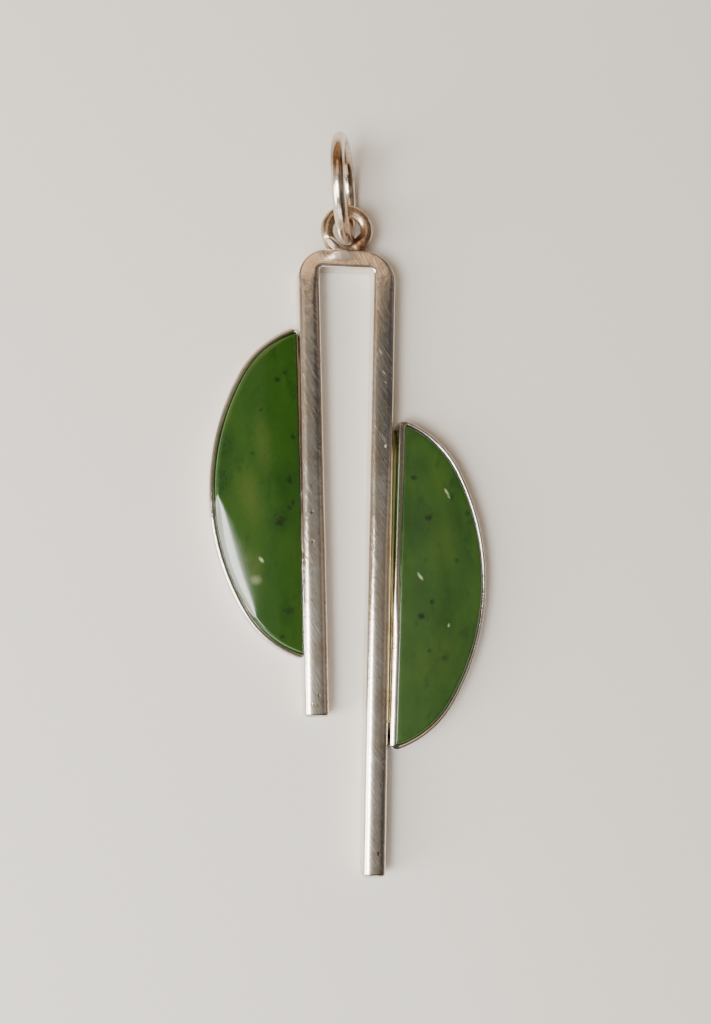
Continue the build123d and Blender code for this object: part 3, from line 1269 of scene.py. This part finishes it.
@dataclass
class Stone(SkinnedPiece):
    """The polished half-oval stone of a setting, a low dome with a rolled edge."""

    setting: Setting
    gap: float = 0.03
    straight_gap: float = 0.01
    # The highest level, and how far the dome falls from it at its sides and at its ends.
    crown: float = 2.17
    dome_across: float = 0.3
    dome_along: float = 0.14
    # The rolled edge, and what a fuller shoulder in one place along the stone adds to it.
    edge_drop: float = 0.2
    edge_reach: float = 0.25
    edge_power: float = 2.5
    shoulder_drop: float = 0.16
    shoulder_reach: float = 1.7
    shoulder_middle: float = -4.7
    shoulder_half: float = 4.4
    straight_roll: float = 0.2
    straight_roll_depth: float = 0.1
    # Levels of the underside and of the upright edge's top.
    seat: float = 0.39
    girdle: float = 1.2
    # How far in from the edge the rings lie over which the face rolls up.
    edge_rings: tuple[float, ...] = (0.0, 0.01, 0.025, 0.045, 0.07, 0.1, 0.14, 0.19, 0.26, 0.38, 0.55)
    face_rings: int = 30
    wave_depth: float = 0.008
    wave_grain: float = 3.5

    def level(self, x: float, y: float) -> float:
        """Height of the polished face.

        Args:
            x: Distance from the setting's straight side.
            y: Distance along it from its middle.

        Returns:
            The level above the surface that the pendant lies on.
        """
        setting = self.setting
        half = setting.width / 2
        across = self.dome_across * (min(x - half, 0) / half) ** 2
        along = self.dome_along * (2 * y / setting.length) ** 2
        fullness = max(1 - ((y - self.shoulder_middle) / self.shoulder_half) ** 2, 0)
        reach = self.edge_reach + self.shoulder_reach * fullness
        inside = setting.depth_from_curve(x, y) - setting.rim - self.gap
        drop = self.edge_drop + self.shoulder_drop * fullness
        edge = drop * (1 - clamp(inside / reach)) ** self.edge_power
        from_wall = x - setting.straight_wall - setting.straight_lip - self.straight_gap
        near = 1 - clamp(from_wall / self.straight_roll)
        rolled = self.straight_roll_depth * (1 - math.sqrt(1 - near**2))
        return self.crown - across - along - max(edge, rolled)

    def rings(self) -> list[Ring]:
        """Draws the stone.

        Returns:
            Rings from its underside up its edge and in over the dome.
        """
        setting = self.setting
        edge = setting.rim + self.gap
        straight = setting.straight_wall + setting.straight_lip + self.straight_gap
        low = setting.outline(edge, straight)
        rings = [setting.placed(low, [level] * len(low)) for level in (self.seat, self.girdle)]
        for inset in self.edge_rings:
            ring = setting.outline(edge + inset, straight + inset)
            rings.append(setting.placed(ring, [self.level(x, y) for x, y in ring]))
        middle = setting.width / 2
        for share in np.linspace(0.96, 0.02, self.face_rings):
            small = [(middle + (x - middle) * share, y * share) for x, y in ring]
            rings.append(setting.placed(small, [self.level(x, y) for x, y in small]))
        return rings


@dataclass
class WireLoop:
    """The wire loop on top of the bar, run together with the solder at its foot."""

    # Thickness of the wire and radius of its middle line.
    wire: float = 0.95
    middle: float = 1.5
    centre: Point3 = (-0.02, 1.455, 1.875)
    voxel: float = 0.045
    # Lumps of solder: x, y, z from the loop's centre, then the three half sizes.
    lumps: tuple[tuple[float, ...], ...] = (
        (0.1, -1.36, -0.45, 1.05, 0.43, 0.4),
        (0.85, -1.0, -0.3, 0.55, 0.6, 0.45),
        (1.1, -0.75, -0.2, 0.42, 0.6, 0.42),
        (-0.55, -1.25, -0.4, 0.45, 0.35, 0.42),
    )
    # How far the foot is let down, and where that starts, from the loop's centre.
    dip: float = 0.5
    dip_start: float = -0.55
    soft: float = 0.6
    soft_times: int = 5

    def dipped(self, y: float) -> float:
        """How far the loop's foot is let down behind the bar's front, y from its centre."""
        return self.dip * ease((self.dip_start - y) / (self.middle + self.dip_start))

    def build(self, finish: Material) -> Object:
        """Makes the loop and runs the solder lumps into it.

        Args:
            finish: The silver.

        Returns:
            The finished object.
        """
        piece = BentWire(self.middle, self.wire).make("loop_with_solder", finish)
        work = bmesh.new()
        work.from_mesh(piece.data)
        for vert in work.verts:
            vert.co.z -= self.dipped(vert.co.y)
        for x, y, z, *sizes in self.lumps:
            place = Matrix.Translation((x, y, z)) @ Matrix.Diagonal((*sizes, 1.0))
            bmesh.ops.create_icosphere(work, subdivisions=3, radius=1.0, matrix=place)
        work.to_mesh(piece.data)
        work.free()
        melt = piece.modifiers.new("melt", "REMESH")
        melt.mode = "VOXEL"
        melt.voxel_size = self.voxel
        soften = piece.modifiers.new("soften", "SMOOTH")
        soften.factor = self.soft
        soften.iterations = self.soft_times
        settle(piece)
        shift = to_frame(self.centre)
        piece.data.transform(Matrix.Translation(shift) @ Matrix.Scale(MM, 4))
        piece.data.materials.clear()
        piece.data.materials.append(finish)
        HandFinish(depth=0.02, grain=0.9, seed=5.0).work(piece, finish)
        return dress(piece, "silver_frame")


@dataclass
class JumpRing:
    """The round ring of wire that stands on its edge through the loop."""

    wire: float = 1.0
    middle: float = 3.55
    # Width of its butt joint, and three angles in degrees: the joint's, the lean and the turn.
    cut: float = 0.05
    cut_angle: float = -38.0
    lean: float = 14.7
    yaw: float = 2.2
    centre: Point3 = (-0.5477, 4.048, 3.9538)

    def build(self, finish: Material) -> Object:
        """Makes the ring in its resting place.

        Args:
            finish: The silver.

        Returns:
            The finished object.
        """
        wire = BentWire(self.middle, self.wire, self.cut, math.radians(self.cut_angle))
        piece = wire.make("jump_ring_wire", finish)
        lean, yaw = math.radians(self.lean), math.radians(self.yaw)
        away = Vector((-math.sin(yaw), math.cos(yaw), 0))
        aside = Vector((-math.cos(yaw), -math.sin(yaw), 0))
        rise = Vector((0, 0, math.cos(lean))) + aside * math.sin(lean)
        normal = away.cross(rise).normalized()
        turn = Matrix((away, normal.cross(away), normal)).transposed().to_4x4()
        shift = Matrix.Translation(to_frame(self.centre))
        piece.data.transform(shift @ turn @ Matrix.Scale(MM, 4))
        close_up(piece)
        HandFinish(depth=0.015, grain=1.2, seed=11.0).work(piece, finish)
        return dress(piece, "jump_ring")


# Studio


@dataclass(frozen=True)
class Panel:
    """A flat soft light: its borders in metres and how bright its face is.

    It is flat in the direction whose two borders are the same, and faces the pendant.
    """

    name: str
    x: Point2
    y: Point2
    z: Point2
    glow: float
    colour: str = "#ffffff"

    def build(self) -> None:
        """Makes the light, whose power follows from its area so that its glow stays as stated."""
        borders = (self.x, self.y, self.z)
        flat = next(axis for axis in range(3) if borders[axis][0] == borders[axis][1])
        light = bpy.data.lights.new(self.name, "AREA")
        light.shape = "RECTANGLE"
        light.size, light.size_y = (high - low for low, high in borders if high > low)
        light.energy = self.glow * light.size * light.size_y * math.pi
        light.color = linear(self.colour)[:3]
        lamp = bpy.data.objects.new(self.name, light)
        lamp.location = [sum(pair) / 2 for pair in borders]
        away = Vector([lamp.location[axis] if axis == flat else 0.0 for axis in range(3)])
        lamp.rotation_euler = away.to_track_quat("Z", "Y").to_euler()
        lamp.visible_camera = False
        bpy.context.scene.collection.objects.link(lamp)


@dataclass
class Studio:
    """Pale floor, soft panels and the camera at the photograph's angle."""

    # Camera in the drawing, in millimetres, with the directions of its right and forward axes.
    camera_place: Point3 = (-13.621, -27.65, 100.54)
    right: Point3 = (0.98974, -0.00058, 0.14288)
    forward: Point3 = (0.14248, 0.07893, -0.98665)
    lens: float = 47.46
    # Half the floor's width, in metres.
    floor_half: float = 0.45
    panels: tuple[Panel, ...] = (
        Panel("window", (-0.2, -0.1), (-0.17, -0.001), (0.28, 0.28), 22.0, "#fffdf8"),
        Panel("window_fade", (-0.1, -0.062), (-0.15, -0.001), (0.28, 0.28), 3.5, "#fffaf4"),
        Panel("window_glow", (-0.062, -0.025), (-0.15, -0.001), (0.28, 0.28), 1.2, "#fffaf4"),
        Panel("window_edge", (-0.025, 0.02), (-0.12, -0.001), (0.28, 0.28), 0.45, "#fff8ee"),
        Panel("window_side", (-0.36, -0.17), (-0.15, -0.008), (0.25, 0.25), 9.0, "#fffcf6"),
        Panel("window_low", (-0.3, -0.3), (-0.2, -0.024), (0.01, 0.2), 12.0, "#fffcf6"),
        Panel("window_near", (-0.3, 0.1), (-0.32, -0.32), (0.02, 0.24), 3.0, "#fffaf2"),
        Panel("ceiling", (-0.53, 0.054), (-0.36, 0.36), (0.36, 0.36), 0.17, "#ffedca"),
        Panel("ceiling_right", (0.05, 0.073), (-0.12, 0.04), (0.35, 0.35), 0.25, "#fff4e4"),
        Panel("ceiling_end", (0.073, 0.16), (-0.12, 0.04), (0.35, 0.35), 0.14, "#ffdfb8"),
        Panel("warm_wall", (-0.16, 0.06), (0.098, 0.3), (0.3, 0.3), 1.1, "#ffcb94"),
        Panel("warm_left", (-0.46, -0.041), (0.012, 0.114), (0.31, 0.31), 0.25, "#ffe0bc"),
        Panel("warm_left_low", (-0.31, -0.31), (-0.02, 0.25), (0.01, 0.2), 0.5, "#ffe0bc"),
        Panel("warm_far", (-0.3, 0.25), (0.33, 0.33), (0.01, 0.28), 0.5, "#ffcb94"),
        Panel("warm_right", (0.15, 0.4), (-0.05, 0.045), (0.3, 0.3), 0.3, "#ffdfb8"),
        Panel("warm_right_far", (0.15, 0.4), (0.1, 0.3), (0.3, 0.3), 0.3, "#ffcb94"),
        Panel("side_fill", (0.31, 0.31), (-0.15, 0.1), (0.02, 0.18), 0.2, "#ffd8b8"),
    )

    def floor(self) -> None:
        """Makes the pale floor, which isn't part of the object."""
        mesh = bpy.data.meshes.new("floor")
        work = bmesh.new()
        bmesh.ops.create_grid(work, x_segments=8, y_segments=8, size=self.floor_half)
        work.to_mesh(mesh)
        work.free()
        piece = bpy.data.objects.new("floor", mesh)
        bpy.context.scene.collection.objects.link(piece)
        mesh.materials.append(PaleCard().material())

    def world(self) -> None:
        """Lights the room dimly, and shows the camera a pale backdrop beyond the floor."""
        world = bpy.data.worlds.new("studio")
        world.use_nodes = True
        tree = world.node_tree
        dim = tree.nodes["Background"]
        dim.inputs["Color"].default_value = linear("#c4c5c6")
        dim.inputs["Strength"].default_value = 0.15
        pale = add_node(tree, "ShaderNodeBackground", links={"Color": linear("#dedbd5"), "Strength": 1.0})
        path = add_node(tree, "ShaderNodeLightPath")
        links = {0: path.outputs["Is Camera Ray"], 1: dim.outputs[0], 2: pale.outputs[0]}
        both = add_node(tree, "ShaderNodeMixShader", links=links)
        tree.links.new(both.outputs[0], tree.nodes["World Output"].inputs["Surface"])
        bpy.context.scene.world = world

    def camera(self) -> None:
        """Sets the camera where the photograph was taken from."""
        lens = bpy.data.cameras.new("camera")
        lens.lens = self.lens
        lens.clip_start, lens.clip_end = 0.005, 20.0
        eye = bpy.data.objects.new("camera", lens)
        right, back = Vector(self.right), -Vector(self.forward)
        up = back.cross(right).normalized()
        right = up.cross(back).normalized()
        turn = Matrix((right, up, back.normalized())).transposed().to_4x4()
        eye.matrix_world = Matrix.Translation(to_frame(self.camera_place)) @ turn
        bpy.context.scene.collection.objects.link(eye)
        bpy.context.scene.camera = eye

    def build(self) -> None:
        """Makes the floor, the world, the lights and the camera."""
        self.floor()
        self.world()
        for panel in self.panels:
            panel.build()
        self.camera()


def main() -> None:
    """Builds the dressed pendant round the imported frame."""
    logging.basicConfig(level=logging.INFO, format="%(name)s: %(message)s")
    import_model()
    finishes = (BAR_SILVER, SEAM_SOLDER, STRIP_SILVER, LOOP_SILVER, RING_SILVER)
    silver, solder, strip, loop_silver, ring_silver = (finish.material() for finish in finishes)
    bar = BentBar()
    left = Setting(
        bar,
        Side.LEFT,
        length=24.9,
        width=6.82,
        drop=18.3,
        seam=-0.03,
        turn=0.45,
        straight_wall=0.13,
        straight_lip=0.0,
        rim=0.4,
    )
    right = Setting(
        bar,
        Side.RIGHT,
        length=24.85,
        width=7.02,
        drop=25.03,
        seam=0.27,
        turn=0.75,
        straight_wall=0.33,
        straight_lip=0.14,
        rim=0.34,
        straight_low=0.07,
        straight_low_above=-0.25,
        straight_rise=0.25,
    )
    left_stone = Stone(left)
    right_stone = Stone(
        right, dome_across=0.1, shoulder_drop=0.0, shoulder_reach=0.0, straight_roll_depth=0.02
    )
    bar.build("bent_bar", silver, 3.0)
    left.build("setting_left", strip, 21.0)
    right.build("setting_right", strip, 34.0)
    SolderSeam(left).build("solder_left", solder, 2.0)
    SolderSeam(right, height=1.95, drop=0.45).build("solder_right", solder, 7.0)
    left_stone.build("stone_left", LEFT_JADE.material(), 8.0, "jade_warm", "jade_left")
    right_stone.build("stone_right", RIGHT_JADE.material(), 8.0, "jade_cool", "jade_right")
    WireLoop().build(loop_silver)
    JumpRing().build(ring_silver)
    Studio().build()
    bpy.context.view_layer.update()


if __name__ == "__main__":
    main()
